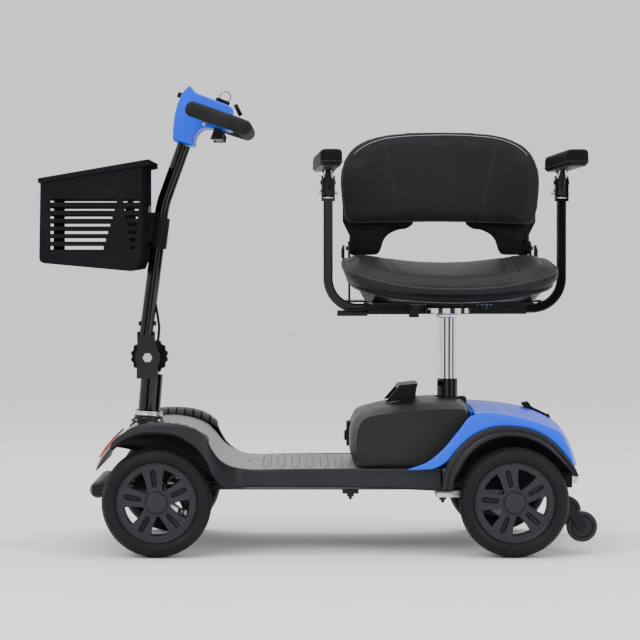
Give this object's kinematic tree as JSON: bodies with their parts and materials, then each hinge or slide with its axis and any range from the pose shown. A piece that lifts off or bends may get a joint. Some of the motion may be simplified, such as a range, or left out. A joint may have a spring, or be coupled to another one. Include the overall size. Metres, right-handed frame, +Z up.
{
  "type": "mobility scooter",
  "caption": "Compact four-wheel mobility scooter with a folding tiller, front basket, lift-out battery and a padded swivel seat on a post.",
  "frame": {"origin": "on the floor, below the middle of the scooter's overall length and width", "axes": "+X to the scooter's rear, +Y to its right side, +Z up"},
  "size_m": [1.0294, 0.51, 0.866],
  "materials": {
    "blue_body": "gloss",
    "grey_cover": "fine grain",
    "dark_skirt": "satin",
    "tyre_rubber": "treaded",
    "rim_plastic": "satin",
    "black_paint": "gloss",
    "black_steel": "satin",
    "zinc": "plated",
    "chrome": "polished",
    "aluminium": "extruded",
    "cast_grey": "cast",
    "motor_black": "satin",
    "box_black": "textured",
    "cell_case": "satin",
    "seat_leather": "soft grain",
    "pad_vinyl": "soft grain",
    "foam": "foam",
    "basket_black": "satin",
    "black_plastic": "satin",
    "bumper_rubber": "satin",
    "red_reflector": "prismatic",
    "clear_reflector": "prismatic",
    "circuit": "satin"
  },
  "bodies": {
    "chassis": {"main_frame": "black_steel", "frame_bolts": "zinc", "seat_socket": "black_paint", "front_cover": "grey_cover", "side_skirts": "dark_skirt", "front_strip": "red_reflector", "bumper_roller": "bumper_rubber", "rear_shroud": "blue_body", "arch_trims": "dark_skirt", "rear_panel": "black_plastic", "rear_reflectors": "clear_reflector", "transaxle": "cast_grey", "drive_motor": "motor_black", "controller": "aluminium", "freewheel_bracket": "black_steel", "anti_tip_arms": "black_steel"},
    "column": {"steering_column": "black_paint", "fold_bolt": "zinc"},
    "clamp": {"clamp_knob": "black_plastic"},
    "tiller": {"tiller_tube": "black_paint", "tiller_foot": "black_paint", "tiller_head": "blue_body", "control_board": "circuit", "handlebar": "foam", "control_cable": "black_plastic", "basket_clamp": "black_plastic"},
    "dial": {"speed_dial": "black_plastic"},
    "ignition_key": {"key": "chrome"},
    "throttle": {"throttle_lever": "black_plastic"},
    "carrier": {"basket": "basket_black"},
    "post": {"seat_post": "chrome"},
    "seat": {"seat_frame": "black_steel", "seat_cushion": "seat_leather", "seat_shell": "black_plastic"},
    "backrest": {"backrest_brackets": "black_plastic", "backrest_pad": "seat_leather"},
    "seat_release": {"swivel_lever": "black_steel"},
    "battery": {"battery_case": "box_black", "battery_cells": "cell_case", "battery_handle": "black_plastic"},
    "freewheel": {"freewheel_lever": "black_plastic"},
    "knuckle_left": {"knuckle_left": "black_steel"},
    "tie_rod_left": {"tie_rod_left": "zinc"},
    "wheel_front_left": {"tyre_front_left": "tyre_rubber", "rim_front_left": "rim_plastic"},
    "wheel_rear_left": {"tyre_rear_left": "tyre_rubber", "rim_rear_left": "rim_plastic"},
    "anti_tip_wheel_left": {"anti_tip_wheel_left": "rim_plastic"},
    "arm_left": {"arm_left": "black_paint"},
    "armrest_left": {"arm_pad_left": "pad_vinyl"},
    "knuckle_right": {"knuckle_right": "black_steel"},
    "tie_rod_right": {"tie_rod_right": "zinc"},
    "wheel_front_right": {"tyre_front_right": "tyre_rubber", "rim_front_right": "rim_plastic"},
    "wheel_rear_right": {"tyre_rear_right": "tyre_rubber", "rim_rear_right": "rim_plastic"},
    "anti_tip_wheel_right": {"anti_tip_wheel_right": "rim_plastic"},
    "arm_right": {"arm_right": "black_paint"},
    "armrest_right": {"arm_pad_right": "pad_vinyl"}
  },
  "joints": [
    {"name": "steer", "type": "hinge", "parent": "chassis", "child": "column", "pos_m": [-0.3195, 0, 0.254], "axis": [0.0785, 0, 0.9969], "range_deg": [-28, 28]},
    {"name": "tiller_fold", "type": "hinge", "parent": "column", "child": "tiller", "pos_m": [-0.321, 0, 0.354], "axis": [0, 1, 0], "range_deg": [-20, 10]},
    {"name": "clamp_turn", "type": "hinge", "parent": "column", "child": "clamp", "pos_m": [-0.321, 0.035, 0.354], "axis": [0, 1, 0], "continuous": true},
    {"name": "dial_turn", "type": "hinge", "parent": "tiller", "child": "dial", "pos_m": [-0.1543, 0, 0.8198], "axis": [0.8944, 0, 0.4472], "range_deg": [-135, 135]},
    {"name": "key_turn", "type": "hinge", "parent": "tiller", "child": "ignition_key", "pos_m": [-0.186, 0, 0.8355], "axis": [0.3697, 0, 0.9291], "range_deg": [0, 90]},
    {"name": "throttle_turn", "type": "hinge", "parent": "tiller", "child": "throttle", "pos_m": [-0.187, 0, 0.77], "axis": [0, 0, 1], "range_deg": [-12, 12], "stiffness_Nm_per_rad": 0.5},
    {"name": "basket_lift", "type": "slide", "parent": "tiller", "child": "carrier", "axis": [0, 0, 1], "range_m": [0, 0.05]},
    {"name": "seat_height", "type": "slide", "parent": "chassis", "child": "post", "axis": [0, 0, 1], "range_m": [-0.05, 0.05]},
    {"name": "seat_swivel", "type": "hinge", "parent": "post", "child": "seat", "pos_m": [0.2457, 0, 0.447], "axis": [0, 0, 1], "continuous": true},
    {"name": "backrest_fold", "type": "hinge", "parent": "seat", "child": "backrest", "pos_m": [0.23928, 0.18389, 0.56], "axis": [0.9994, 0.0349, 0], "range_deg": [0, 75]},
    {"name": "seat_release_lift", "type": "hinge", "parent": "seat", "child": "seat_release", "pos_m": [0.18144, -0.02226, 0.438], "axis": [-0.0349, 0.9994, 0], "range_deg": [0, 6], "stiffness_Nm_per_rad": 1, "springref_deg": -5.73},
    {"name": "battery_lift", "type": "slide", "parent": "chassis", "child": "battery", "axis": [0, 0, 1], "range_m": [0, 0.1]},
    {"name": "freewheel_pull", "type": "hinge", "parent": "chassis", "child": "freewheel", "pos_m": [0.434, 0, 0.238], "axis": [0, 1, 0], "range_deg": [0, 30]},
    {"name": "steer_left", "type": "hinge", "parent": "chassis", "child": "knuckle_left", "pos_m": [-0.2923, -0.19, 0.1], "axis": [0.0785, 0, 0.9969], "range_deg": [-28, 28]},
    {"name": "tie_rod_swing_left", "type": "hinge", "parent": "column", "child": "tie_rod_left", "pos_m": [-0.28652, 0, 0.09954], "axis": [0.0785, 0, 0.9969], "range_deg": [-28, 28]},
    {"name": "wheel_front_left_roll", "type": "hinge", "parent": "knuckle_left", "child": "wheel_front_left", "pos_m": [-0.2923, -0.23, 0.1], "axis": [0, 1, 0], "continuous": true},
    {"name": "wheel_rear_left_roll", "type": "hinge", "parent": "chassis", "child": "wheel_rear_left", "pos_m": [0.3561, -0.23, 0.1], "axis": [0, 1, 0], "continuous": true},
    {"name": "anti_tip_left_roll", "type": "hinge", "parent": "chassis", "child": "anti_tip_wheel_left", "pos_m": [0.4865, -0.151, 0.048], "axis": [0, 1, 0], "continuous": true},
    {"name": "arm_left_width", "type": "slide", "parent": "seat", "child": "arm_left", "axis": [-0.9994, -0.0349, 0], "range_m": [0, 0.06]},
    {"name": "armrest_left_lift", "type": "hinge", "parent": "arm_left", "child": "armrest_left", "pos_m": [0.01974, 0.05215, 0.686], "axis": [-0.9994, -0.0349, 0], "range_deg": [0, 90]},
    {"name": "steer_right", "type": "hinge", "parent": "chassis", "child": "knuckle_right", "pos_m": [-0.2923, 0.19, 0.1], "axis": [0.0785, 0, 0.9969], "range_deg": [-28, 28]},
    {"name": "tie_rod_swing_right", "type": "hinge", "parent": "column", "child": "tie_rod_right", "pos_m": [-0.28652, 0, 0.09954], "axis": [0.0785, 0, 0.9969], "range_deg": [-28, 28]},
    {"name": "wheel_front_right_roll", "type": "hinge", "parent": "knuckle_right", "child": "wheel_front_right", "pos_m": [-0.2923, 0.23, 0.1], "axis": [0, 1, 0], "continuous": true},
    {"name": "wheel_rear_right_roll", "type": "hinge", "parent": "chassis", "child": "wheel_rear_right", "pos_m": [0.3561, 0.23, 0.1], "axis": [0, 1, 0], "continuous": true},
    {"name": "anti_tip_right_roll", "type": "hinge", "parent": "chassis", "child": "anti_tip_wheel_right", "pos_m": [0.4865, 0.151, 0.048], "axis": [0, 1, 0], "continuous": true},
    {"name": "arm_right_width", "type": "slide", "parent": "seat", "child": "arm_right", "axis": [0.9994, 0.0349, 0], "range_m": [0, 0.06]},
    {"name": "armrest_right_lift", "type": "hinge", "parent": "arm_right", "child": "armrest_right", "pos_m": [0.46747, 0.06778, 0.686], "axis": [-0.9994, -0.0349, 0], "range_deg": [0, 90]}
  ],
  "couplings": [
    {"joint": "steer_left", "follows": "steer", "ratio": 1},
    {"joint": "tie_rod_swing_left", "follows": "steer", "ratio": -1},
    {"joint": "steer_right", "follows": "steer", "ratio": 1},
    {"joint": "tie_rod_swing_right", "follows": "steer", "ratio": -1}
  ]
}
